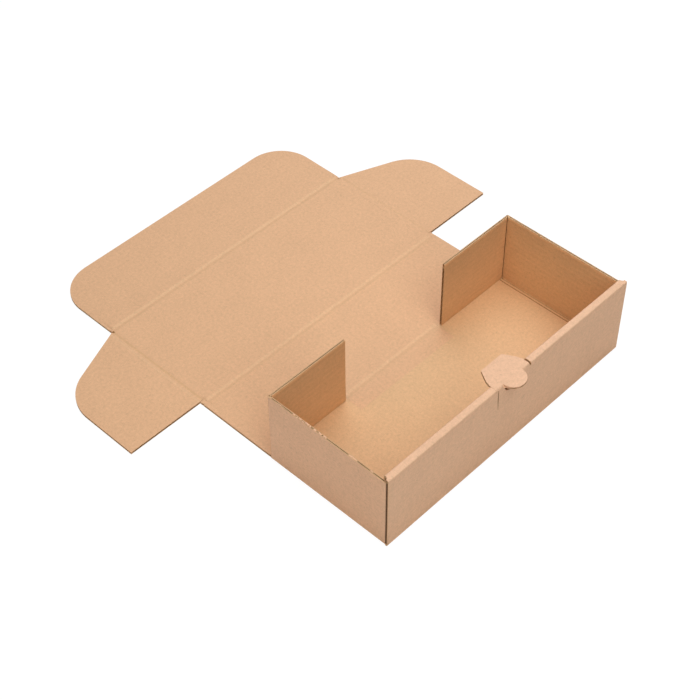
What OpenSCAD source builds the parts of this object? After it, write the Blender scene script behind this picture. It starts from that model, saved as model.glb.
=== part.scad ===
// Mailer box folded from one die-cut blank of corrugated board.
// The tray is folded up and the back wall and lid lie open behind it.
// X runs along the tray, the rolled front wall is at -Y, the lid lies towards +Y, and Z is up.
// The origin is at the middle of the underside of the tray's base.

/* [Board] */
// Thickness of the corrugated board
board_t = 2.7; // [2.5:0.1:3.2]
// Distance from one flute to the next
flute_pitch = 6.67; // [5.8:0.01:7.8]
// Thickness of each flat liner
liner_t = 0.3; // [0.2:0.05:0.4]
// Thickness of the wavy medium between the liners
medium_t = 0.3; // [0.2:0.05:0.4]
// Length of board next to a crease in which the flutes are crushed shut
crush_l = 3; // [2.5:0.5:6]
// Depth to which the flutes are modelled behind an edge that runs along them
edge_flute_l = 8; // [7:0.5:14]

/* [Tray] */
// Outer length of the tray
tray_l = 350; // [320:1:400]
// Front face of the tray to its rear crease
tray_w = 155.6; // [140:0.1:190]
// Height of the rolled front wall
front_h = 95.9; // [80:0.1:120]
// Drop from the front wall's top to the side walls' top
side_drop = 5.1; // [4:0.1:12]
// Outer radius of the folds along the base and up the corners
fold_r = 1.8; // [1:0.1:2.2]
// Outer radius of the two folds along the top of the front wall
band_r = 2.4; // [1:0.1:2.4]
// Width of the slot that shows where a flute is cut open along an edge
torn_w = 0.9; // [0.5:0.1:1.2]
// Depth of that slot
torn_d = 3.2; // [2:0.1:4]
// Radius of the bead that a crease raises on the inner liner
bead_r = 0.5; // [0.3:0.05:0.6]

/* [Rolled front wall] */
// Gap between the board layers in the rolled wall
layer_gap = 0.15; // [0.1:0.05:0.4]
// Length of the corner flaps held between the layers
corner_flap_l = 100; // [60:1:140]
// Gap between each end of the inner layer and the side wall
roll_end_gap = 0.5; // [0.3:0.1:2]
// Width of each tab that locks the inner layer into the base
lock_tab_w = 42; // [20:1:60]
// Distance of those tabs from the middle of the tray
lock_tab_x = 100; // [60:1:130]
// Clearance around a tab in its slot
slot_gap = 0.3; // [0.2:0.05:0.6]

/* [Tongue and thumb lip] */
// Place of the tongue along the front wall, from its middle
tongue_x = -2; // [-20:1:20]
// Width of the tongue where it leaves the front wall
tongue_w = 48.4; // [40:0.1:60]
// Width of the tongue at its shoulders
tongue_shoulder_w = 45; // [36:0.1:48]
// Distance of the shoulders from the front wall
tongue_shoulder_y = 6; // [4:0.1:12]
// Width of the tongue at its tip
tongue_tip_w = 30; // [20:0.1:36]
// Reach of the tongue over the tray
tongue_reach = 19; // [15:0.1:26]
// Radius of the thumb lip in front of the wall
lip_r = 13.6; // [10:0.1:18]
// Distance from the lip's centre to the front face
lip_inset = 0.8; // [0:0.1:4]
// Width of the open slit at the tongue's right end
open_slit = 2.2; // [0.4:0.1:2.6]
// Width of the tight slit at the tongue's left end
tight_slit = 0.2; // [0.2:0.1:0.8]
// Place of the slit that runs down the front face, from the middle of the tongue
front_slit_x = -21.5; // [-24:0.1:-20]
// Width of that slit half way down
front_slit_w = 1.1; // [0.4:0.1:1.6]
// Length of that slit
front_slit_l = 28; // [16:0.5:34]

/* [Rear flaps] */
// Length of each rear flap
rear_flap_l = 101; // [60:1:150]
// Gap between the rear flaps and the raised back wall
back_gap = 0.3; // [0.2:0.05:1]
// Gap between the rear flaps and the base
floor_gap = 0.4; // [0.3:0.05:1]

/* [Lid] */
// Gap between the closed lid and the top of the front wall
lid_gap = 0.9; // [0.4:0.1:3]
// Gap between the closed lid's ears or tuck flap and the wall beside them
swing_gap = 0.3; // [0.2:0.05:1]
// Step from the side walls' outer face to the back wall's end
back_step = 1; // [0.5:0.1:3]
// Gap between the closed tuck flap's ends and the side walls
tuck_end_gap = 0.6; // [0.4:0.1:3]
// Radius of the tuck flap's corners
tuck_r = 44; // [20:1:60]
// Gap between the closed ears and the base
ear_floor_gap = 0.7; // [0.6:0.1:3]
// Slope of the ears' front edge
ear_slope = 22; // [10:1:30]
// Radius of the ears' corner
ear_r = 50; // [12:1:52]

/* [Creases] */
// Clearance between two panels where they meet at a crease
crease_gap = 0.2; // [0.15:0.05:0.4]
// Extra opening of the rear flaps' creases on the inside of the corner
corner_open = 0.9; // [0:0.1:1.5]

/* [Hidden] */
$fn = 48;
kraft = "#D8AE83";
inner_kraft = "#DDB48A";
// overshoot of a cut past the surface that it leaves
over = 1;

half_l = tray_l / 2;
half_t = board_t / 2;
front_y = -tray_w / 2;
rear_y = tray_w / 2;
side_h = front_h - side_drop;

// the front wall is the outer layer, the corner flap and the inner layer
band_w = 3 * board_t + 2 * layer_gap;
inner_y = front_y + band_w;
corner_y = front_y + board_t + layer_gap;
inner_half_l = half_l - board_t - roll_end_gap;
hinge_y = inner_y - half_t;
hinge_z = front_h - half_t;

// fold lines of the moving panels, each at the middle of the board
side_x = half_l - half_t;
flap_y = rear_y - board_t - back_gap;
back_h = front_h + lid_gap;
lid_y = rear_y + back_h;
lid_d = tray_w - band_w - half_t - swing_gap;
tuck_y = lid_y + lid_d;
ear_x = half_l - 1.5 * board_t - swing_gap;

back_half_l = half_l - back_step;
tuck_half_l = half_l - board_t - tuck_end_gap;
tuck_d = back_h - half_t - swing_gap;
ear_d = back_h - half_t - ear_floor_gap;
ear_rear_y = lid_y + 1.5 * board_t + back_gap + swing_gap;
ear_front_y = tuck_y - half_t - swing_gap;
ear_l = ear_front_y - ear_rear_y;

// One hollow of the board: flat against a liner, with the wavy medium as its other side.
flute_a = half_t - liner_t - medium_t / 2;
hollow_steps = [-0.4, -0.2, 0, 0.2, 0.4];
hollow = concat(
    [for (s = hollow_steps) [s * flute_pitch, medium_t / 2 - flute_a * cos(360 * s)]],
    [[0.4 * flute_pitch, half_t - liner_t], [-0.4 * flute_pitch, half_t - liner_t]]);

// Section of all the hollows whose middles lie between two places across the board
module hollows(from, to) {
    for (k = [ceil(from / flute_pitch) : floor(to / flute_pitch)])
        translate([k * flute_pitch, 0]) polygon(hollow);
    for (k = [ceil(from / flute_pitch - 0.5) : floor(to / flute_pitch - 0.5)])
        translate([(k + 0.5) * flute_pitch, 0]) mirror([0, 1]) polygon(hollow);
}

// Section of a flute cut open at X = 0, for board on the side of -X
module open_flute() {
    translate([-flute_pitch / 8, 0]) polygon(hollow);
    translate([-flute_pitch * 5 / 8, 0]) mirror([0, 1]) polygon(hollow);
}

// Section of the slot that is left where the knife crushed an open flute at X = 0
module torn_flute() {
    polygon([[over, -torn_w / 2], [over, torn_w / 2], [0, torn_w / 2], [-torn_d, flute_a],
        [-torn_d, -flute_a], [0, -torn_w / 2]]);
}

// A section drawn in Y and Z, run along X from one place to another
module run_x(from, to) {
    translate([from, 0, 0]) rotate([90, 0, 90]) linear_extrude(to - from) children();
}

// A section drawn in X and Z, run along Y from one place to another
module run_y(from, to) {
    translate([0, to, 0]) rotate([90, 0, 0]) linear_extrude(to - from) children();
}

// Half of a circle, on the side of +Y
module upper_half(r) {
    intersection() {
        circle(r = r);
        translate([-r, 0]) square([2 * r, r]);
    }
}

// A flat sheet of board about the middle of its thickness
module sheet() {
    translate([0, 0, -half_t]) linear_extrude(board_t) children();
}

// Sections of a crease along X: the fixed panel ends at Y = 0 and the moving one starts there.
// The panels fold towards +Z, so both are mitred on that side.
module mitre_end() {
    polygon([[0, 0], [-half_t - over, half_t + over], [over, half_t + over], [over, 0]]);
}
module crease_round() {
    intersection() {
        circle(r = half_t);
        translate([-half_t, -board_t]) square([board_t + over, board_t]);
    }
}
module mitre_start(extra = 0) {
    polygon([[-over, -0.1], [crease_gap, -0.1], [crease_gap, 0],
        [half_t + crease_gap + extra, half_t], [half_t + crease_gap + extra, half_t + over],
        [-over, half_t + over]]);
    intersection() {
        circle(r = half_t + crease_gap);
        translate([-board_t, -board_t]) square([2 * board_t, board_t]);
    }
}

// Rounds an outer edge at the section's origin, for a solid in the quarter of +X and +Y
module edge_round(r) {
    difference() {
        translate([-over, -over]) square(r + over);
        translate([r, r]) circle(r = r);
        translate([r, -2 * over]) square(r + 3 * over);
        translate([-2 * over, r]) square(r + 3 * over);
    }
}

// Base of the tray, with the slots for the front wall's locking tabs
module base() {
    difference() {
        union() {
            translate([-half_l, front_y, 0]) cube([tray_l, flap_y + half_t - front_y, board_t]);
            translate([-back_half_l, flap_y, 0])
                cube([2 * back_half_l, rear_y - flap_y, board_t]);
            translate([0, rear_y, half_t]) run_x(-back_half_l, back_half_l) crease_round();
        }
        translate([0, rear_y, half_t]) run_x(-half_l - over, half_l + over) mitre_end();
        for (side = [-1, 1])
            translate([side * lock_tab_x - lock_tab_w / 2 - slot_gap,
                inner_y - board_t - slot_gap, -over])
                cube([lock_tab_w + 2 * slot_gap, board_t + 2 * slot_gap, board_t + 2 * over]);
    }
}

// Plan of the right side wall: a rounded fold at the front and the rear flap's crease behind
module side_wall_plan() {
    difference() {
        union() {
            translate([half_l - board_t, corner_y + fold_r])
                square([board_t, flap_y - corner_y - fold_r]);
            translate([half_l - board_t, corner_y]) square([board_t - fold_r, board_t]);
            translate([half_l - fold_r, corner_y + fold_r]) circle(r = fold_r);
            intersection() {
                translate([side_x, flap_y]) circle(r = half_t);
                translate([side_x, flap_y - half_t]) square([board_t, board_t]);
            }
        }
        translate([side_x, flap_y])
            polygon([[0, 0], [-half_t - over, -half_t - over], [-half_t - over, over], [0, over]]);
    }
}

// Right side wall with its corner flap, which is folded in behind the front face
module side_wall() {
    linear_extrude(side_h) side_wall_plan();
    translate([half_l - corner_flap_l, corner_y, board_t + layer_gap])
        cube([corner_flap_l - board_t + 0.1, board_t, side_h - board_t - layer_gap]);
    translate([half_l - board_t, 0, board_t]) run_y(inner_y, flap_y - board_t) circle(r = bead_r);
}

// Flutes that lie open along the top of the right side wall
module side_wall_flutes() {
    translate([side_x, 0, side_h]) rotate([0, -90, 0]) run_y(corner_y + crush_l, flap_y - crush_l)
        torn_flute();
}

// Section of the rolled front wall: up the front, over the top and down inside
module rolled_section() {
    difference() {
        translate([front_y, 0]) square([band_w, front_h]);
        translate([front_y + board_t, -over])
            square([board_t + 2 * layer_gap, front_h - board_t + over]);
        translate([inner_y - board_t - over, -over])
            square([board_t + 2 * over, board_t + layer_gap + over]);
        translate([front_y, front_h]) mirror([0, 1]) edge_round(band_r);
        translate([inner_y, front_h]) mirror([1, 0]) mirror([0, 1]) edge_round(band_r);
    }
}

// Plan of the rolled front wall: its ends run in towards the shorter inner layer
module rolled_plan() {
    polygon([[-half_l, front_y - over], [half_l, front_y - over], [half_l, front_y + half_t],
        [inner_half_l, inner_y - board_t - layer_gap], [inner_half_l, inner_y + over],
        [-inner_half_l, inner_y + over], [-inner_half_l, inner_y - board_t - layer_gap],
        [-half_l, front_y + half_t]]);
}

// Flutes that lie open at the two ends of the rolled front wall
module rolled_flutes() {
    for (side = [0, 1]) mirror([side, 0, 0]) {
        translate([half_l, front_y + half_t, crush_l]) linear_extrude(front_h - 2 * crush_l)
            open_flute();
        translate([0, inner_y - half_t, 2 * crush_l]) linear_extrude(front_h - 3 * crush_l)
            hollows(inner_half_l - edge_flute_l, inner_half_l + over);
    }
}

// Outline of the tongue, from its crease at Y = 0, made wider all round by a clearance
module tongue_outline(clear) {
    tip = tongue_reach + half_t + clear;
    shoulder = tongue_shoulder_y + half_t;
    right = [[tongue_w / 2 + clear, 0], [tongue_shoulder_w / 2 + clear, shoulder],
        [tongue_tip_w / 2 + clear, tip]];
    left = [for (p = [right[2], right[1], right[0]]) [-p[0], p[1]]];
    polygon(concat(right, left));
}

// Thumb lip: the part of the tongue's strip that stands out in front of the wall
module lip() {
    difference() {
        intersection() {
            translate([tongue_x, front_y + lip_inset, hinge_z]) sheet() circle(r = lip_r);
            translate([tongue_x - lip_r, front_y - lip_r, 0]) cube([2 * lip_r, lip_r + board_t, front_h]);
        }
        translate([tongue_x, 0, hinge_z]) run_y(front_y - lip_r - over, front_y - over)
            hollows(-lip_r, lip_r);
    }
}

// Everything cut through the rolled front wall for the tongue and the lip
module tongue_cuts() {
    left_x = tongue_x - tongue_w / 2;
    right_x = tongue_x + tongue_w / 2;
    // slit down the front face, sprung open in the middle
    translate([tongue_x + front_slit_x, front_y + board_t + layer_gap, front_h - band_r])
        rotate([90, 0, 0]) linear_extrude(board_t + layer_gap + over)
            polygon([[-front_slit_w / 3, 0], [front_slit_w / 3, 0],
                [front_slit_w, -front_slit_l / 2], [front_slit_w * 1.7, -front_slit_l],
                [front_slit_w * 1.4, -front_slit_l], [0, -front_slit_l / 2]]);
    // slits across the top
    translate([left_x - tight_slit, front_y - over, front_h - board_t - over])
        cube([tight_slit, band_w + 2 * over, board_t + 2 * over]);
    translate([right_x, front_y - over, front_h - board_t - over])
        cube([open_slit, band_w + 2 * over, board_t + 2 * over]);
    // the inner layer's window, which the tongue was cut from
    translate([tongue_x, inner_y + over, hinge_z]) rotate([90, 180, 0])
        linear_extrude(board_t + layer_gap + over) tongue_outline(slot_gap);
    // the strip ends at the tongue's crease
    translate([left_x - tight_slit, hinge_y, hinge_z])
        cube([tongue_w + tight_slit + open_slit, board_t, board_t]);
    // the front face's window, which the lip was cut from
    translate([tongue_x, front_y + board_t + layer_gap, front_h - lip_inset]) rotate([90, 0, 0])
        linear_extrude(board_t + 2 * layer_gap + over) intersection() {
            circle(r = lip_r);
            translate([-lip_r, -2 * lip_r]) square([2 * lip_r, 2 * lip_r - board_t + lip_inset]);
        }
}

// Rolled front wall with its locking tabs, tongue strip and lip
module front_wall() {
    difference() {
        intersection() {
            run_x(-half_l, half_l) rolled_section();
            linear_extrude(front_h) rolled_plan();
        }
        rolled_flutes();
        tongue_cuts();
        translate([tongue_x, hinge_y, hinge_z]) rotate([0, 180, 0])
            run_x(-tongue_w / 2, tongue_w / 2) mitre_end();
    }
    translate([tongue_x, hinge_y, hinge_z]) rotate([0, 180, 0])
        run_x(-tongue_w / 2, tongue_w / 2) crease_round();
    lip();
    for (side = [-1, 1])
        translate([side * lock_tab_x - lock_tab_w / 2, inner_y - board_t, slot_gap])
            cube([lock_tab_w, board_t, 2 * board_t]);
}

module tray() {
    color(kraft) {
        difference() {
            union() {
                base();
                side_wall();
                mirror([1, 0, 0]) side_wall();
                front_wall();
            }
            side_wall_flutes();
            mirror([1, 0, 0]) side_wall_flutes();
            // outer radius of the folds along the base
            for (side = [0, 1]) mirror([side, 0, 0])
                translate([-half_l, 0, 0]) run_y(corner_y - layer_gap, flap_y + board_t)
                    edge_round(fold_r);
            translate([0, front_y, 0]) run_x(-half_l - over, half_l + over) edge_round(fold_r);
        }
    }
}

// Tongue over the tray, level with the front wall's top; it folds down into its window
module lock_tongue() {
    color(kraft) translate([tongue_x, hinge_y, hinge_z]) rotate([0, 180, 0]) difference() {
        sheet() tongue_outline(0);
        run_x(-tongue_w, tongue_w) mitre_start();
        run_y(crush_l, tongue_reach + board_t) hollows(-tongue_w / 2, tongue_w / 2);
    }
}

// Rear flap of the right side wall, folded square behind the tray
module rear_flap() {
    translate([side_x, flap_y, 0]) rotate([90, -90, 0]) difference() {
        translate([board_t + floor_gap, 0, -half_t])
            cube([side_h - board_t - floor_gap, rear_flap_l, board_t]);
        run_x(0, side_h + over) mitre_start(corner_open);
        run_y(crush_l, rear_flap_l + over)
            hollows(board_t + floor_gap, side_h - torn_d - flute_pitch / 2);
        translate([side_h, 0, 0]) run_y(crush_l, rear_flap_l + over) torn_flute();
    }
}

module right_rear_flap() {
    color(inner_kraft) rear_flap();
}

module left_rear_flap() {
    color(inner_kraft) mirror([1, 0, 0]) rear_flap();
}

// Back wall, lying flat behind the tray
module back_wall() {
    color(inner_kraft) translate([0, 0, half_t]) {
        difference() {
            translate([0, rear_y, 0]) sheet()
                translate([-back_half_l, 0]) square([2 * back_half_l, back_h]);
            translate([0, rear_y, 0]) run_x(-half_l, half_l) mitre_start();
            translate([0, lid_y, 0]) run_x(-half_l, half_l) mitre_end();
            for (side = [0, 1]) mirror([side, 0, 0]) run_y(rear_y + crush_l, lid_y - crush_l)
                hollows(back_half_l - edge_flute_l, back_half_l + over);
        }
        translate([0, lid_y, 0]) run_x(-ear_x, ear_x) crease_round();
    }
}

// Outline of the lid: its corners run out past the ears' creases to the panels on either side
module lid_outline() {
    rear_l = ear_rear_y - lid_y - swing_gap;
    front_l = tuck_y - ear_front_y - swing_gap;
    translate([-ear_x, 0]) square([2 * ear_x, lid_d]);
    translate([-back_half_l, 0]) square([2 * back_half_l, rear_l]);
    translate([-tuck_half_l, lid_d - front_l]) square([2 * tuck_half_l, front_l]);
}

// Lid panel, with creases on all four sides
module lid() {
    color(inner_kraft) translate([0, 0, half_t]) {
        difference() {
            translate([0, lid_y, 0]) sheet() lid_outline();
            translate([0, lid_y, 0]) run_x(-half_l, half_l) mitre_start();
            translate([0, tuck_y, 0]) run_x(-half_l, half_l) mitre_end();
            for (side = [0, 1]) mirror([side, 0, 0])
                translate([ear_x, ear_rear_y, 0]) rotate([0, 0, -90])
                    run_x(-ear_l, 0) mitre_end();
        }
        translate([0, tuck_y, 0]) run_x(-ear_x, ear_x) crease_round();
        for (side = [0, 1]) mirror([side, 0, 0])
            translate([ear_x, ear_rear_y, 0]) rotate([0, 0, -90]) run_x(-ear_l, 0) crease_round();
    }
}

// Outline of the left ear: X runs forward along its crease and Y outwards
module ear_outline() {
    corner_x = ear_l - ear_d * tan(ear_slope);
    tangent_l = ear_r / tan(45 + ear_slope / 2);
    polygon([[0, 0], [ear_l, 0],
        [corner_x + tangent_l * sin(ear_slope), ear_d - tangent_l * cos(ear_slope)],
        [corner_x - tangent_l, ear_d], [0, ear_d]]);
    translate([corner_x - tangent_l, ear_d - ear_r]) upper_half(ear_r);
}

module ear() {
    translate([-ear_x, ear_rear_y, half_t]) rotate([0, 0, 90]) difference() {
        sheet() ear_outline();
        run_x(-over, ear_l + over) mitre_start();
        run_x(-over, ear_l + over) hollows(crush_l + flute_pitch / 2, ear_d + over);
    }
}

module left_ear() {
    color(inner_kraft) ear();
}

module right_ear() {
    color(inner_kraft) mirror([1, 0, 0]) ear();
}

// Tuck flap with its two large corners
module tuck_flap() {
    color(inner_kraft) translate([0, tuck_y, half_t]) difference() {
        sheet() union() {
            translate([-tuck_half_l, 0]) square([2 * tuck_half_l, tuck_d - tuck_r]);
            translate([-tuck_half_l + tuck_r, 0]) square([2 * (tuck_half_l - tuck_r), tuck_d]);
            for (side = [-1, 1])
                translate([side * (tuck_half_l - tuck_r), tuck_d - tuck_r]) upper_half(tuck_r);
        }
        run_x(-half_l, half_l) mitre_start();
        run_y(crush_l, tuck_d + over) hollows(-tuck_half_l, tuck_half_l);
    }
}

tray();
lock_tongue();
left_rear_flap();
right_rear_flap();
back_wall();
lid();
left_ear();
right_ear();
tuck_flap();
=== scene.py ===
"""Looks for the corrugated mailer box: kraft liners, scored creases, crushed and torn edges,
floor, light and camera."""

import math

import bmesh
import bpy
from mathutils import Matrix, Vector, noise


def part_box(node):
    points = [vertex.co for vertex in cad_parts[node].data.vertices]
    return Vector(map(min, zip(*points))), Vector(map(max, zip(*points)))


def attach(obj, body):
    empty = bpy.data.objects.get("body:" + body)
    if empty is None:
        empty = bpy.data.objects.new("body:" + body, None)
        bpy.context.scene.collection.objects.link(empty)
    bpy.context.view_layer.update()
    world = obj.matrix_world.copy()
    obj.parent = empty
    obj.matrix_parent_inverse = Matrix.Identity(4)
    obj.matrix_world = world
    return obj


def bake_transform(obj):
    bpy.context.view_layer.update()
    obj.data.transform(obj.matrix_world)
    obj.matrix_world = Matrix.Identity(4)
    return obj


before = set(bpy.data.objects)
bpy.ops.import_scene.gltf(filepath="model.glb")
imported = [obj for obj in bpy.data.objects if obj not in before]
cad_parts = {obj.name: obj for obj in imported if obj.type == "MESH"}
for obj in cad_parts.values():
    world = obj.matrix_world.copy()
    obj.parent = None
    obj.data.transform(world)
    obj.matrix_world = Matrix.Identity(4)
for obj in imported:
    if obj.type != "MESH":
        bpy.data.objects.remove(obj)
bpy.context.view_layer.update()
MM = 0.001

# Sizes of the board and of the box, in mm, as the part's source has them
T = 2.7
PITCH = 6.67
FRONT_Y, REAR_Y = -77.8, 77.8
LID_Y, TUCK_Y = 174.6, 320.15
HALF_L, SIDE_X = 175.0, 173.65
FLAP_Y, FLAP_L = 74.8, 101.0
EAR_X, EAR_Y0, EAR_Y1 = 170.65, 179.25, 318.5
BACK_X, TUCK_X = 174.0, 171.7
FRONT_H, SIDE_H = 95.9, 90.8
INNER_Y, HINGE_Y = -69.4, -70.75
TONGUE_X, TONGUE_W = -2.0, 48.4
FOLD_R, BAND_R = 1.8, 2.4
SIDES = (("left", -1), ("right", 1))


def linear(code):
    """sRGB hex to linear RGBA."""
    out = []
    for i in (1, 3, 5):
        c = int(code[i:i + 2], 16) / 255
        out.append(c / 12.92 if c <= 0.04045 else ((c + 0.055) / 1.055) ** 2.4)
    return (*out, 1.0)


def add(tree, kind, values=None, **settings):
    """Adds a node, sets its settings and its sockets: a value, or a link from another's socket."""
    n = tree.nodes.new(kind)
    for k, v in settings.items():
        setattr(n, k, v)
    for k, v in (values or {}).items():
        if isinstance(v, bpy.types.NodeSocket):
            tree.links.new(v, n.inputs[k])
        else:
            n.inputs[k].default_value = v
    return n


def total(tree, value, parts):
    """Adds each pattern times its share to a value."""
    for pattern, share in parts:
        values = {0: pattern, 1: share, 2: value}
        value = add(tree, "ShaderNodeMath", values, operation="MULTIPLY_ADD").outputs[0]
    return value


def grain(tree, place, grid, detail=2.0, rough=0.5, turn=(0, 0, 0)):
    """Noise about 0, from -0.5 to 0.5, in a grid of features a metre that may be turned."""
    values = {"Vector": place, "Rotation": turn, "Scale": grid}
    spot = add(tree, "ShaderNodeMapping", values).outputs[0]
    values = {"Vector": spot, "Scale": 1, "Detail": detail, "Roughness": rough}
    cells = add(tree, "ShaderNodeTexNoise", values).outputs[0]
    return add(tree, "ShaderNodeMath", {0: cells, 1: 0.5}, operation="SUBTRACT").outputs[0]


def fibres(tree, place, grid, turn):
    """Sparse streaks from 0 to 1: only the peaks of the noise are left."""
    values = {0: grain(tree, place, grid, turn=turn), 1: FIBRE_GAIN, 2: -FIBRE_LOSS}
    streaks = add(tree, "ShaderNodeMath", values, operation="MULTIPLY_ADD", use_clamp=True)
    return streaks.outputs[0]


def features(*sizes):
    """Whole number of features a metre for each real size in mm: the scale of a pattern."""
    return tuple(round(1 / (size * MM)) for size in sizes)


# Each scale is worked out from a real size in mm. Clouds in the pulp are some 36 mm wide and
# flecks 3 mm. Fibres are 2 mm long, and 0.03 mm wide, which is too fine to show, so they are
# drawn 0.4 mm wide. They bend over some 8 mm. Streaks of uneven glue are 2 by 42 mm.
CLOUD_GRID, FLECK_GRID = features(35.7, 35.7, 35.7), features(3.03, 3.03, 3.03)
DARK_FIBRES = {"grid": features(0.3846, 2.38, 1.111), "turn": (0.5, 0.4, 0.6)}
PALE_FIBRES = {"grid": features(2, 0.3448, 0.909), "turn": (1.9, -0.7, 2.2)}
FIBRE_BENDS, FIBRE_BEND = features(8.33)[0], 6 * MM
GLUE_ACROSS, GLUE_ALONG = features(1.923, 41.7)
# The noise is stretched and lowered by these, so that only its peaks show as fibres
FIBRE_GAIN, FIBRE_LOSS = 5.5, 0.33
# Share of the brightness that each flaw gives or takes, and its height in mm
CLOUD, FLECK, DARK, PALE, WASHBOARD, GLUE = 0.09, 0.34, -0.19, 0.13, 0.006, 0.05
FLECK_H, DARK_H, WASHBOARD_H = 0.05, 0.02, 0.022
# The knife presses the board flat between these depths under a cut top edge, in mm; a painted
# highlight there stands for the light that the flat rim catches
HIGHLIGHT_START, HIGHLIGHT_FULL = 4.5, 1.8
# Scuff mark on the front face: its middle, and where it is full and where it ends, in mm
SCUFF_PLACE, SCUFF_FULL, SCUFF_END = Vector((17, FRONT_Y, 52.8)), 0.8, 3.4
PAPER_ROUGH, PAPER_SPECULAR = 0.86, 0.2


def kraft(name, colour, across, ribs=1.0, rim_highlight=0.0, scuff=0.0):
    """Kraft paper as it comes off the board machine, matt and flecked, glued over flutes that
    run square to the axis across. Ribs says how strongly the flutes show through."""
    mat = bpy.data.materials.new(name)
    mat.use_nodes = True
    tree = mat.node_tree
    tree.nodes.clear()
    place = add(tree, "ShaderNodeTexCoord").outputs["Object"]
    cloud = grain(tree, place, CLOUD_GRID, 3, 0.6)
    fleck = grain(tree, place, FLECK_GRID, 4, 0.65)
    # fibres lie in all directions: streaks in two turned grids that a coarse noise bends
    values = {"Vector": place, "Scale": FIBRE_BENDS, "Detail": 1}
    bend = add(tree, "ShaderNodeTexNoise", values).outputs["Color"]
    values = {0: bend, 1: (FIBRE_BEND, FIBRE_BEND, FIBRE_BEND)}
    bend = add(tree, "ShaderNodeVectorMath", values, operation="MULTIPLY").outputs[0]
    bent = add(tree, "ShaderNodeVectorMath", {0: place, 1: bend}, operation="ADD").outputs[0]
    dark = fibres(tree, bent, **DARK_FIBRES)
    pale = fibres(tree, bent, **PALE_FIBRES)
    # washboard: the flutes' glue lines, one a flute, and streaks of uneven glue along them
    part = add(tree, "ShaderNodeSeparateXYZ", {0: place}).outputs
    values = {0: part[across], 1: 2 * math.pi / (PITCH * MM)}
    phase = add(tree, "ShaderNodeMath", values, operation="MULTIPLY").outputs[0]
    wave = add(tree, "ShaderNodeMath", {0: phase}, operation="SINE").outputs[0]
    glue_grid = tuple(GLUE_ACROSS if i == across else GLUE_ALONG for i in range(3))
    glue = grain(tree, place, glue_grid, 3, 0.6)
    flaws = [(cloud, CLOUD), (fleck, FLECK), (dark, DARK), (pale, PALE),
             (wave, WASHBOARD * ribs), (glue, GLUE * ribs)]
    if rim_highlight:
        # painted highlight: the flat rim is lightened as the light from above would light it
        values = {"Value": part[2], "From Min": (SIDE_H - HIGHLIGHT_START) * MM,
                  "From Max": (SIDE_H - HIGHLIGHT_FULL) * MM}
        rim = add(tree, "ShaderNodeMapRange", values, interpolation_type="SMOOTHSTEP").outputs[0]
        flaws.append((rim, rim_highlight))
    if scuff:
        values = {0: place, 1: SCUFF_PLACE * MM}
        away = add(tree, "ShaderNodeVectorMath", values, operation="DISTANCE").outputs["Value"]
        values = {"Value": away, "From Min": SCUFF_FULL * MM, "From Max": SCUFF_END * MM,
                  "To Min": 1.0, "To Max": 0.0}
        blot = add(tree, "ShaderNodeMapRange", values, interpolation_type="SMOOTHSTEP").outputs[0]
        flaws.append((blot, -scuff))
    level = total(tree, 1.0, flaws)
    shade = add(tree, "ShaderNodeCombineColor", {0: level, 1: level, 2: level}).outputs[0]
    values = {0: 1.0, 6: linear(colour), 7: shade}
    base = add(tree, "ShaderNodeMix", values, data_type="RGBA", blend_type="MULTIPLY").outputs[2]
    heights = [(fleck, FLECK_H), (wave, WASHBOARD_H * ribs), (dark, DARK_H)]
    values = {"Height": total(tree, 0.0, heights), "Strength": 1.0, "Distance": MM}
    bump = add(tree, "ShaderNodeBump", values).outputs[0]
    values = {"Base Color": base, "Roughness": PAPER_ROUGH,
              "Specular IOR Level": PAPER_SPECULAR, "Normal": bump}
    shader = add(tree, "ShaderNodeBsdfPrincipled", values).outputs[0]
    add(tree, "ShaderNodeOutputMaterial", {0: shader})
    return mat


# The inner liner is the golden one, the outer liner is a little pinker and greyer. On upright
# panels the inner liner is a darker, more saturated copy: painted shade
INNER, BASE_INNER, SHADED_WALL_INNER, OUTER = "#E4B48A", "#E4B88A", "#DBAF80", "#EBBC98"
# Painted shade and painted highlight for the scores: a darker and a slightly darker copy of the
# inner liner, and a lighter one
SCORE_SHADE, FAINT_SCORE_SHADE, SCORE_HIGHLIGHT = "#DDAE82", "#E1B287", "#E7B98E"
# The deep medium colour is painted shadow, for the hollow of an open flute in shade
CUT, MEDIUM, FLUTE_SHADOW = "#D2A87E", "#A6794D", "#5E3F25"
mats = {
    "inner": kraft("kraft inner liner", INNER, 0),
    "score_shade": kraft("kraft inner liner with painted shade along a score", SCORE_SHADE, 0),
    "faint_score_shade": kraft("kraft inner liner with faint painted shade along a score", FAINT_SCORE_SHADE, 0),
    "score_highlight": kraft("kraft inner liner with a painted highlight beside a score", SCORE_HIGHLIGHT, 0),
    "inner_base": kraft("kraft inner liner on the base", BASE_INNER, 0),
    # Upright panels' inner liner: a darker copy of the inner liner as painted shade, with a
    # painted highlight along the cut top
    "shaded_inner_wall": kraft("kraft inner liner on upright panels", SHADED_WALL_INNER, 2, 2.5, rim_highlight=0.17),
    "outer": kraft("kraft outer liner", OUTER, 0, 0.7, scuff=0.14),
    "outer_wall": kraft("kraft outer liner on side walls", OUTER, 2, 0.7),
    "cut": kraft("die-cut edge of the board", CUT, 0, 0.0),
    "medium": kraft("fluting medium in the open flutes", MEDIUM, 0, 0.0),
    "deep_medium": kraft("fluting medium deep in a torn flute", FLUTE_SHADOW, 2, 0.0),
}


def paint(node, choose):
    """Gives each face of a CAD node the paper that it shows. The chooser gets the face's
    middle in mm, its normal, and how far the node reaches along X."""
    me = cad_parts[node].data
    names = list(mats)
    me.materials.clear()
    for n in names:
        me.materials.append(mats[n])
    low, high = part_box(node)
    reach = (low[0] / MM, high[0] / MM)
    for p in me.polygons:
        p.material_index = names.index(choose([v / MM for v in p.center], p.normal, reach))


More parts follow.
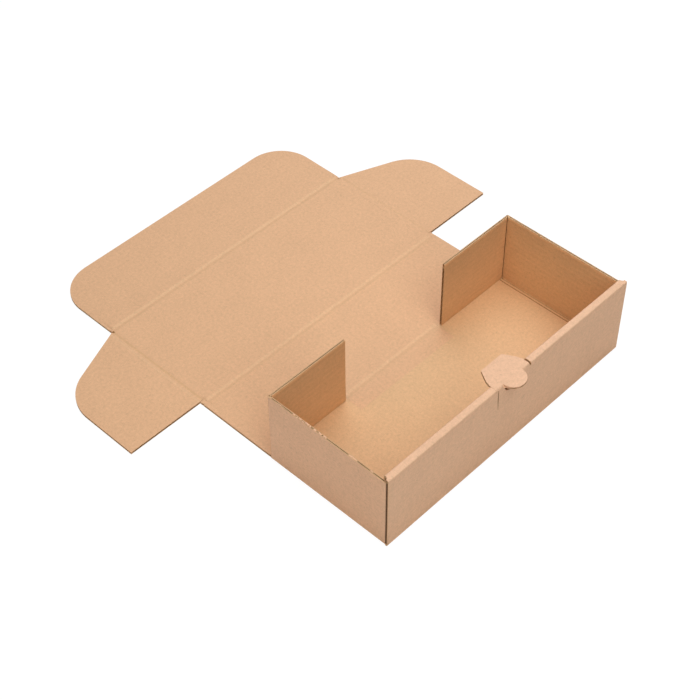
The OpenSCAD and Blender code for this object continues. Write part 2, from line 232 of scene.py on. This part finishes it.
# A face whose middle is within this of a plane, in mm, lies on it, and one whose normal has
# this share along an axis, or more, faces that way
ON, FACING = 0.05, 0.9


def cut_or_medium(c, n, reach):
    """In a panel whose flutes run along Y: an upright face is cut board, unless it is a
    flute's own side. The flutes that lie open along the panel's sides are as pale as the cut."""
    if not reach[0] + 2.5 < c[0] < reach[1] - 2.5:
        return "cut"
    return "medium" if abs(n[2]) > 0.05 or abs(n[0]) > 0.995 else "cut"


def flat_panel(c, n, reach):
    if n[2] > FACING and c[2] > T - ON:
        return "inner"
    if n[2] < -FACING and c[2] < ON:
        return "outer"
    # the round under a crease is liner too
    near = min(abs(c[1] - LID_Y), abs(c[1] - TUCK_Y), abs(c[1] - REAR_Y), abs(abs(c[0]) - EAR_X))
    if near < T / 2 + 0.1 and c[2] < T / 2 and n[2] < -0.03:
        return "outer"
    return cut_or_medium(c, n, reach)


def rear_flap(c, n, reach):
    if n[1] < -FACING and abs(c[1] - FLAP_Y + T / 2) < ON:
        return "shaded_inner_wall"
    if n[1] > FACING and abs(c[1] - FLAP_Y - T / 2) < ON:
        return "outer_wall"
    at_end = abs(n[0]) > FACING and abs(c[0]) < SIDE_X - FLAP_L + 1
    at_rim = abs(n[2]) > FACING and (c[2] > SIDE_H - 0.1 or c[2] < T + 0.5)
    return "cut" if at_end or at_rim else "medium"


def tongue(c, n, reach):
    if n[2] > FACING and c[2] > FRONT_H - ON:
        return "outer"
    if n[2] < -FACING and c[2] < FRONT_H - T + ON:
        return "inner"
    return cut_or_medium(c, n, reach)


def tray(c, n, reach):
    x, y, z = c
    ax, nx = abs(x), n[0] * (1 if x > 0 else -1)
    if n[2] < -FACING and z < ON:
        return "outer"
    if n[2] > FACING and abs(z - T) < ON and y > INNER_Y:
        return "inner_base"
    # side walls, and the rounds along their feet and ends
    if y > INNER_Y + 0.5 or ax > SIDE_X - T / 2 - 0.1:
        flat = nx > FACING and ax > HALF_L - 0.1
        rounded = z < FOLD_R or y < FRONT_Y + T + FOLD_R + 0.2 or y > FLAP_Y
        if nx > 0.05 and ax > SIDE_X - 0.4 and y > FRONT_Y + T and (flat or rounded):
            return "outer_wall"
        if nx < -FACING and abs(ax - SIDE_X + T / 2) < ON:
            return "shaded_inner_wall"
        if ax > HALF_L - T - 0.6 and z < T + 0.6 and y > INNER_Y:
            return "shaded_inner_wall"
    # rolled front wall: its face, its top and its inner face
    on_front = y < FRONT_Y + ON or z < FOLD_R or z > FRONT_H - BAND_R
    if y < FRONT_Y + BAND_R and n[1] < -0.04 and on_front:
        return "outer"
    if n[2] > 0.04 and z > FRONT_H - BAND_R:
        return "outer"
    if abs(y - INNER_Y) < ON and n[1] > FACING:
        return "outer"
    if y > REAR_Y and n[2] < -0.03:
        return "outer"
    # what is left is cut board or the flutes inside it
    at_rim = n[2] > FACING and z > SIDE_H - 0.1
    past_wall = ax > HALF_L - ON or y > FRONT_Y + T and ax > HALF_L - T - 0.6
    at_end = nx > 0.3 and y < INNER_Y + 0.1 and past_wall
    near_tongue = abs(x - TONGUE_X) < TONGUE_W / 2 + 3
    at_slit = near_tongue and y < INNER_Y + 0.1 and z > FRONT_H - T - 0.2
    return "cut" if at_rim or at_end or at_slit else "medium"


for name in ("back_wall", "lid", "left_ear", "right_ear", "tuck_flap"):
    paint(name, flat_panel)
for name in ("left_rear_flap", "right_rear_flap"):
    paint(name, rear_flap)
paint("lock_tongue", tongue)
paint("tray", tray)


# How many times a mm a ragged crest is lifted and shifted, how far it is lifted on average,
# and how far it is shifted, as shares of the raggedness
LIFTS, SHIFTS, LIFT, SHIFT = 0.45, 0.3, 0.25, 0.5
# Edges that bend by more than this stay sharp
SHARP = math.radians(40)


def strip(name, mat, start, end, out_dir, up_dir, profile, pitch=0.0, ragged=0.0):
    """Strip of paper: its profile, points (outwards, upwards) in mm, is extruded from start
    to end. With a pitch it gets rings that far apart, and with ragged its crest is lifted
    and shifted unevenly, by about as many mm."""
    start, end, out_dir, up_dir = (Vector(v) for v in (start, end, out_dir, up_dir))
    rings = max(1, round((end - start).length / pitch)) if pitch else 1
    bm = bmesh.new()
    line = [bm.verts.new((start + out_dir * s + up_dir * h) * MM) for s, h in profile]
    edges = [bm.edges.new(pair) for pair in zip(line, line[1:])]
    rows = [line]
    for _ in range(rings):
        made = bmesh.ops.extrude_edge_only(bm, edges=edges)["geom"]
        edges = [g for g in made if isinstance(g, bmesh.types.BMEdge)]
        line = [g for g in made if isinstance(g, bmesh.types.BMVert)]
        bmesh.ops.translate(bm, verts=line, vec=(end - start) * MM / rings)
        rows.append(line)
    if ragged:
        for row in rows:
            for v in row[1:-1]:
                lift = max(0, noise.noise(v.co / MM * LIFTS) + LIFT)
                v.co += up_dir * MM * ragged * lift
                v.co += out_dir * MM * ragged * SHIFT * noise.noise(v.co / MM * SHIFTS)
    bm.normal_update()
    if sum(f.normal.dot(up_dir) for f in bm.faces) < 0:
        bmesh.ops.reverse_faces(bm, faces=bm.faces[:])
    bmesh.ops.solidify(bm, geom=bm.faces[:], thickness=PAPER_T * MM)
    return piece(name, mat, bm)


def piece(name, mat, bm):
    me = bpy.data.meshes.new(name)
    bm.to_mesh(me)
    bm.free()
    ob = bpy.data.objects.new(name, me)
    bpy.context.scene.collection.objects.link(ob)
    me.materials.append(mats[mat])
    me.polygons.foreach_set("use_smooth", [True] * len(me.polygons))
    me.set_sharp_from_angle(angle=SHARP)
    return ob


def crease(name, mat, start, end, out_dir, profile, painted_light=()):
    """Liner that runs on over a crease in the flat, between the two panels that the crease joins.
    Each entry of painted light is a material, painted shade or a painted highlight, and the two
    places across the crease, in mm, that it lies between."""
    ob = strip(name, mat, start, end, out_dir, (0, 0, 1), profile)
    start, end, out_dir = Vector(start), Vector(end), Vector(out_dir)
    # the faces between an entry's two places get its material: painted shade, painted highlight
    for index, (light_mat, low, high) in enumerate(painted_light, 1):
        ob.data.materials.append(mats[light_mat])
        for p in ob.data.polygons:
            if low < (p.center / MM - start).dot(out_dir) < high:
                p.material_index = index
    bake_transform(ob)


def mirrored(profile):
    return profile + [(-s, h) for s, h in reversed(profile[:-1])]


# Thickness of a strip, height of its free edges over the board, and how far to either side
# of a crease it bends, in mm
PAPER_T, UP, BEND_REACH = 0.06, 0.02, 1.6

# Sections of the scores, from the nearer panel to the farther one. Each is a groove between
# two low shoulders. The lid's is short on the back wall's side, so that it stays above the
# rear flaps when that wall is up. The base's is low where those flaps stand over it.
GROOVE = mirrored([(-24, UP), (-12, 0.24), (-5, 0.46), (-3.9, 0.52), (-3, 0.46), (-1, 0.05),
                   (0, UP)])
LID_GROOVE = [(-6.2, UP), (-4.8, 0.3), (-3.9, 0.44), *GROOVE[4:]]
FLAP_SCORE = mirrored([(-3.2, UP), (-2.6, 0.12), (-1.6, 0.3), (-1, 0.28), (0, 0.1)])
EAR_GROOVE = mirrored([(-6, UP), (-5.4, 0.1), (-4.4, 0.22), (-3.3, 0.26), (-1.2, 0.02),
                       (0, -0.05)])
LEVEL = [(-3, UP), (0, UP + 0.01), (3, UP)]
END = [(-1.5, UP), (0, UP + 0.01), (1.5, UP)]
# Painted shade and painted highlight along the scores, set by where the light falls across each
# groove
ACROSS_PAINTED_LIGHT = [("faint_score_shade", -3.5, -0.9), ("score_highlight", -0.1, 3.1)]
EAR_PAINTED_LIGHT = {"left": [("score_shade", -1.3, 1.3), ("score_highlight", 3.2, 5.5)],
             "right": [("faint_score_shade", 1.1, 3.4)]}
# Half the length of the base's high score, which ends short of the rear flaps, and of the
# lid's scores, which end short of the ears
MID_X = 70
SCORE_X = EAR_X - 2.5

Y_WAY = (0, 1, 0)
crease("crease_base_back_wall_middle", "inner", (-MID_X, REAR_Y, T), (MID_X, REAR_Y, T),
       Y_WAY, GROOVE, ACROSS_PAINTED_LIGHT)
crease("crease_base_back_wall_left", "inner", (-BACK_X + 0.1, REAR_Y, T),
       (-MID_X - 0.1, REAR_Y, T), Y_WAY, FLAP_SCORE)
crease("crease_base_back_wall_right", "inner", (MID_X + 0.1, REAR_Y, T),
       (BACK_X - 0.1, REAR_Y, T), Y_WAY, FLAP_SCORE)
crease("crease_back_wall_lid", "inner", (-SCORE_X, LID_Y, T), (SCORE_X, LID_Y, T),
       Y_WAY, LID_GROOVE, ACROSS_PAINTED_LIGHT)
crease("crease_lid_tuck_flap", "inner", (-SCORE_X, TUCK_Y, T), (SCORE_X, TUCK_Y, T),
       Y_WAY, GROOVE, ACROSS_PAINTED_LIGHT)
crease("crease_lock_tongue", "outer", (TONGUE_X - TONGUE_W / 2 + 0.1, HINGE_Y, FRONT_H),
       (TONGUE_X + TONGUE_W / 2 - 0.1, HINGE_Y, FRONT_H), Y_WAY, LEVEL)

# Bead that the board forms inside the fold at the foot of a side wall, in the darker wall liner as
# painted shade, and the base's rise next to it. On either side of the bead lies a flat strip in
# the fluting medium's colour: painted shade in the crevice
FOOT = [(1.0, UP), (1.5, 0.4), (2.3, 0.6), (3.1, 0.4), (3.6, UP)]
RISE = [(4.5, UP), (5.3, 0.5), (6.2, 0.56), (9, 0.2), (14, UP)]
CREVICE_SHADE = [(0.05, UP), (1.05, UP)]
CREVICE_SHADES = (("inner", 0), ("outer", 3.5))
# Outer liner round the fold between a side wall and its rear flap: a quarter round in six
# steps, with 3 mm of flat liner on either side
ROUND_R = T / 2 + 0.03
ROUND = [(ROUND_R * math.sin(math.radians(a)), ROUND_R * math.cos(math.radians(a)))
         for a in range(0, 91, 15)]
CORNER = [(-3, ROUND[0][1]), *ROUND, (ROUND[-1][0], -3)]
for side, sign in SIDES:
    crease(f"crease_end_back_wall_lid_{side}", "inner", (sign * (EAR_X - 2.4), LID_Y, T),
           (sign * (BACK_X - 0.3), LID_Y, T), Y_WAY, END)
    crease(f"crease_end_lid_tuck_flap_{side}", "inner", (sign * (EAR_X - 2.4), TUCK_Y, T),
           (sign * (TUCK_X - 0.3), TUCK_Y, T), Y_WAY, END)
    crease(f"crease_{side}_ear", "inner", (sign * EAR_X, EAR_Y0 + 0.1, T),
           (sign * EAR_X, EAR_Y1 - 2.6, T), (sign, 0, 0), EAR_GROOVE,
           EAR_PAINTED_LIGHT[side])
    wall, inwards = sign * (HALF_L - T), (-sign, 0, 0)
    front, rear = INNER_Y + 0.2, FLAP_Y - 1.6
    foot = strip(f"fold_bead_{side}_wall", "shaded_inner_wall", (wall, front, T), (wall, rear, T),
                 inwards, (0, 0, 1), FOOT)
    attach(foot, "tray")
    rise = strip(f"fold_rise_{side}_wall", "inner_base", (wall, front, T), (wall, rear, T),
                 inwards, (0, 0, 1), RISE)
    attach(rise, "tray")
    # flat dark strips of medium: painted shade in the crevices either side of the bead
    for part, out in CREVICE_SHADES:
        crevice_shade = strip(f"fold_dent_{part}_{side}_wall", "medium", (wall - sign * out, front, T),
                     (wall - sign * out, rear, T), inwards, (0, 0, 1), CREVICE_SHADE)
        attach(crevice_shade, "tray")
    corner = strip(f"fold_liner_{side}_rear_flap", "outer_wall",
                   (sign * SIDE_X, FLAP_Y, T + 0.6), (sign * SIDE_X, FLAP_Y, SIDE_H - 0.1),
                   Y_WAY, (sign, 0, 0), CORNER)
    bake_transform(corner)

# Frayed liners along the tops of the side walls and rear flaps, either side of the torn
# flutes: section, distance from the board's middle, pitch of the rings, and raggedness in mm
FRAY = [(-0.5, UP - 0.04), (-0.2, 0.1), (0.2, 0.1), (0.5, UP - 0.04)]
FRAY_OUT, FRAY_PITCH, FRAY_RAGGED = 0.8, 1.3, 0.35
for side, sign in SIDES:
    for liner, way in (("inner", -1), ("outer", 1)):
        x = sign * (SIDE_X + way * FRAY_OUT)
        fray = strip(f"frayed_{liner}_liner_{side}_wall", "cut", (x, FRONT_Y + 9.5, SIDE_H),
                     (x, FLAP_Y - 2.2, SIDE_H), (sign, 0, 0), (0, 0, 1), FRAY, FRAY_PITCH,
                     FRAY_RAGGED)
        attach(fray, "tray")
    for liner, way in (("inner", -1), ("outer", 1)):
        y = FLAP_Y + way * FRAY_OUT
        fray = strip(f"frayed_{liner}_liner_{side}_rear_flap", "cut",
                     (sign * (SIDE_X - 2.2), y, SIDE_H),
                     (sign * (SIDE_X - FLAP_L + 1), y, SIDE_H), Y_WAY, (0, 0, 1), FRAY,
                     FRAY_PITCH, FRAY_RAGGED)
        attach(fray, f"{side}_rear_flap")

# Torn bits of board that stand up along the left wall's top, in mm: place along the wall,
# place outwards from the board's middle, length, width and height
TORN = [(41.8, 0.2, 3.4, 1.6, 1.3), (37.5, 0.5, 2.2, 1.4, 1.0), (33.7, 0.3, 4.2, 2.0, 1.5),
        (29.5, 0.9, 3.2, 1.8, 1.2), (25.3, 0.1, 5.4, 2.3, 1.9), (20.9, 0.5, 2.6, 1.8, 1.3),
        (14.6, 0.5, 3.2, 2.1, 1.5), (8.2, 0.3, 3.4, 2.3, 1.6), (2.2, 0.1, 4.2, 2.2, 1.6),
        (-33.0, -0.2, 11.5, 1.6, 0.6), (-56.0, -0.4, 4.0, 1.2, 0.5), (60.0, 0.6, 7.0, 1.0, 0.5)]
# How many lumps a mm the torn surface has, and how high they are in mm
LUMPS, LUMP_H = 0.9, 0.3
bm = bmesh.new()
for y, across, length, width, height in TORN:
    made = bmesh.ops.create_icosphere(bm, subdivisions=3, radius=0.5 * MM)["verts"]
    bmesh.ops.scale(bm, verts=made, vec=(width, length, 2 * height))
    bmesh.ops.translate(bm, verts=made, vec=Vector((-SIDE_X - across, y, SIDE_H - 0.1)) * MM)
    for v in made:
        v.co += noise.noise_vector(v.co / MM * LUMPS) * LUMP_H * MM
torn = piece("torn_board_left_wall", "outer_wall", bm)
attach(torn, "tray")

# Folded edge along the front of the rolled wall's top, pressed tighter than the solid's, and
# clear of the tongue
FOLD = [(-3.4, -UP), (-2.2, -0.03), (-1.2, -0.05), (-0.55, -0.22), (-0.22, -0.55),
        (-0.05, -1.2), (-0.03, -2.2), (UP, -3.4)]
for side, start, end in (("left", -HALF_L + 0.1, TONGUE_X - TONGUE_W / 2 - 0.4),
                         ("right", TONGUE_X + TONGUE_W / 2 + 2.4, HALF_L - 0.1)):
    fold = strip(f"fold_liner_front_{side}", "outer", (start, FRONT_Y, FRONT_H),
                 (end, FRONT_Y, FRONT_H), (0, -1, 0), (0, 0, 1), FOLD)
    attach(fold, "tray")
# Torn flute that lies open down each end of the front wall, with a dark ragged strip in it:
# painted shadow for its hollow
FLUTE_SHADOW_SECTION = [(-1.0, UP - 0.05), (-0.7, UP), (0.6, UP), (1.0, UP - 0.05)]
for side, sign in SIDES:
    shadow_strip = strip(f"painted_flute_shadow_front_{side}", "deep_medium", (sign * HALF_L, FRONT_Y + 1.6, 3.5),
                  (sign * HALF_L, FRONT_Y + 1.6, FRONT_H - 4), Y_WAY, (sign, 0, 0), FLUTE_SHADOW_SECTION,
                  2.0)
    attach(shadow_strip, "tray")


def seen_plainly(tree):
    """1 for the rays that show the background: from the camera, off gloss or through glass."""
    rays = add(tree, "ShaderNodeLightPath").outputs
    seen = rays["Is Camera Ray"]
    for kind in ("Is Glossy Ray", "Is Transmission Ray"):
        values = {0: seen, 1: rays[kind]}
        seen = add(tree, "ShaderNodeMath", values, operation="MAXIMUM").outputs[0]
    return seen


# White floor that stays white for those rays, and keeps a light shadow: a glow, and a little
# diffuse white that the shadow darkens
FLOOR_WHITE, FLOOR_SHADE, FLOOR_GLOW = "#F4F4F4", 0.1, 0.95
FLOOR_SIZE, FLOOR_DROP = 6.0, 0.2 * MM
floor_mat = bpy.data.materials.new("white studio floor")
floor_mat.use_nodes = True
tree = floor_mat.node_tree
tree.nodes.clear()
out = add(tree, "ShaderNodeOutputMaterial")
plain = add(tree, "ShaderNodeBsdfDiffuse", {"Color": linear(FLOOR_WHITE)}).outputs[0]
shaded = add(tree, "ShaderNodeBsdfDiffuse",
             {"Color": (FLOOR_SHADE, FLOOR_SHADE, FLOOR_SHADE, 1)}).outputs[0]
glow = add(tree, "ShaderNodeEmission",
           {"Color": (1, 1, 1, 1), "Strength": FLOOR_GLOW}).outputs[0]
white = add(tree, "ShaderNodeAddShader", {0: shaded, 1: glow}).outputs[0]
mixed = add(tree, "ShaderNodeMixShader", {0: seen_plainly(tree), 1: plain, 2: white}).outputs[0]
tree.links.new(mixed, out.inputs[0])
bm = bmesh.new()
bmesh.ops.create_grid(bm, x_segments=1, y_segments=1, size=FLOOR_SIZE)
me = bpy.data.meshes.new("floor")
bm.to_mesh(me)
bm.free()
floor = bpy.data.objects.new("floor", me)
bpy.context.scene.collection.objects.link(floor)
me.materials.append(floor_mat)
floor.location = (0, 0, -FLOOR_DROP)

# Even white surround, which shows as white but gives the object little light
SURROUND = 0.02
world = bpy.data.worlds.new("white surround")
bpy.context.scene.world = world
world.use_nodes = True
tree = world.node_tree
tree.nodes.clear()
out = add(tree, "ShaderNodeOutputWorld")
strength = total(tree, SURROUND, [(seen_plainly(tree), 1 - SURROUND)])
sky = add(tree, "ShaderNodeBackground", {"Color": (1, 1, 1, 1), "Strength": strength}).outputs[0]
tree.links.new(sky, out.inputs[0])

# Broad soft lights: name, place and target in metres, side in metres, watts and colour
LIGHTS = [
    ("overhead light", (0.0, -0.5, 1.6), (0.0, 0.0, 0.0), 1.0, 8.7, (1, 1, 0.96)),
    ("light from the rear right", (0.45, 0.4, 1.1), (0.0, 0.1, 0.0), 0.8, 9.7, (0.82, 0.88, 1)),
    ("light from the left", (-1.4, 0.0, 1.1), (0.0, 0.12, 0.0), 1.0, 8.1, (0.95, 0.9, 0.84)),
    ("light from the front left", (-0.5, -1.3, 1.2), (0.0, 0.12, 0.0), 1.0, 7.9, (0.93, 1, 1)),
]
for name, place, target, size, power, colour in LIGHTS:
    lamp = bpy.data.lights.new(name, "AREA")
    lamp.color = colour
    lamp.shape = "SQUARE"
    lamp.size = size
    lamp.energy = power
    ob = bpy.data.objects.new(name, lamp)
    bpy.context.scene.collection.objects.link(ob)
    ob.location = place
    ob.rotation_euler = (Vector(target) - Vector(place)).to_track_quat("-Z", "Y").to_euler()

# Camera fitted to the photo's corners: places in metres, roll in degrees, lens in mm
EYE, AIM, ROLL = Vector((-0.81837, -0.65307, 1.17669)), Vector((-0.016866, 0.120878, 0)), -0.452
camera = bpy.data.objects.new("camera", bpy.data.cameras.new("camera"))
bpy.context.scene.collection.objects.link(camera)
bpy.context.scene.camera = camera
camera.data.sensor_width = 36
camera.data.lens = 80.229
camera.data.clip_end = 20
turn = (AIM - EYE).to_track_quat("-Z", "Y").to_matrix()
turn = turn @ Matrix.Rotation(math.radians(ROLL), 3, "Z")
camera.matrix_world = Matrix.Translation(EYE) @ turn.to_4x4()

bpy.context.scene.view_settings.view_transform = "Standard"
